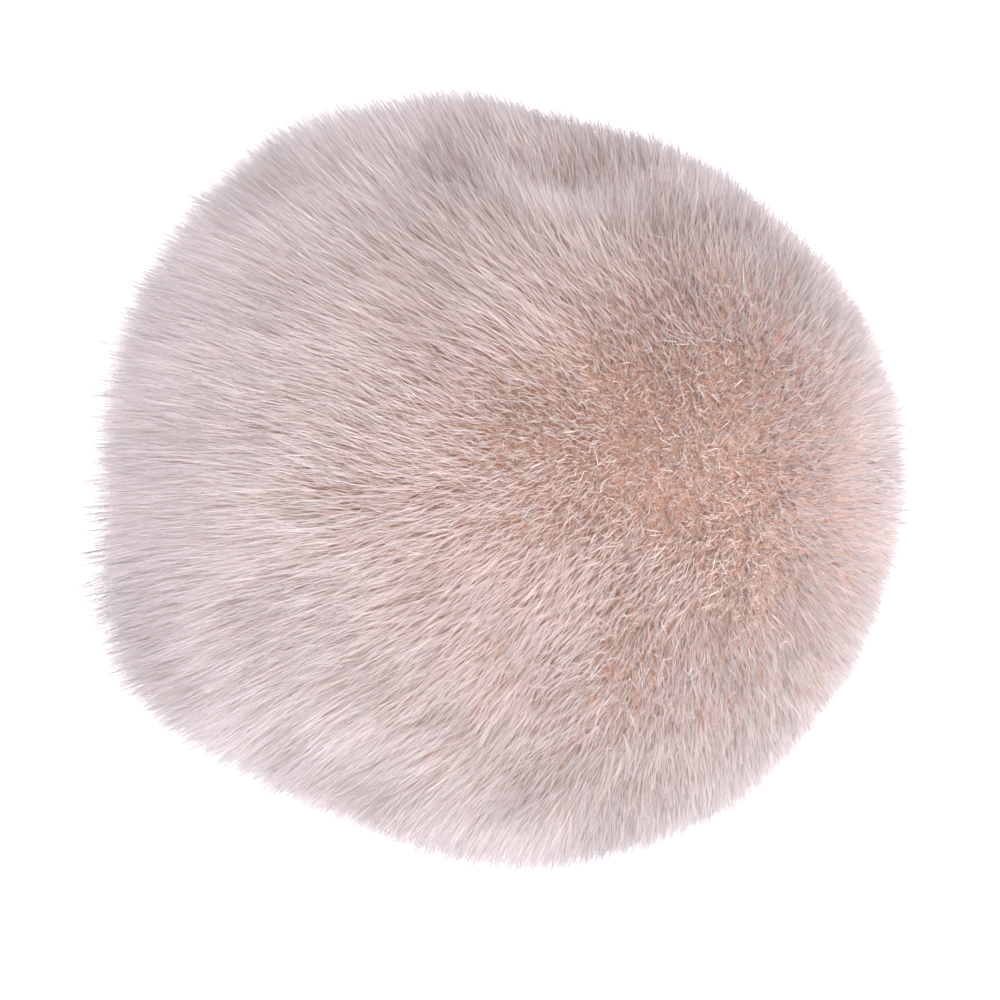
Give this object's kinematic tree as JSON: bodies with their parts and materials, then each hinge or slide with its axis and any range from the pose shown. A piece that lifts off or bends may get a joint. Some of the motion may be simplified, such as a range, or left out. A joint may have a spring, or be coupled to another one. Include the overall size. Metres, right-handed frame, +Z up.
{
  "type": "fur pom pom",
  "caption": "Round ball of soft faux fur with a thick pile that leans to one side, standing on a small flattened spot.",
  "frame": {"origin": "on the surface that the ball stands on, under the middle of its bounding box", "axes": "+Z up out of the surface; the pile leans towards -X; +Y is the side that the picture shows at its top"},
  "size_m": [0.1014, 0.0972, 0.0934],
  "materials": {
    "pile": "soft pale pink-beige faux fur with lilac-white tips and warm brown shadow between the tufts"
  },
  "bodies": {
    "root": {"pom_pom": "pile"}
  },
  "joints": []
}
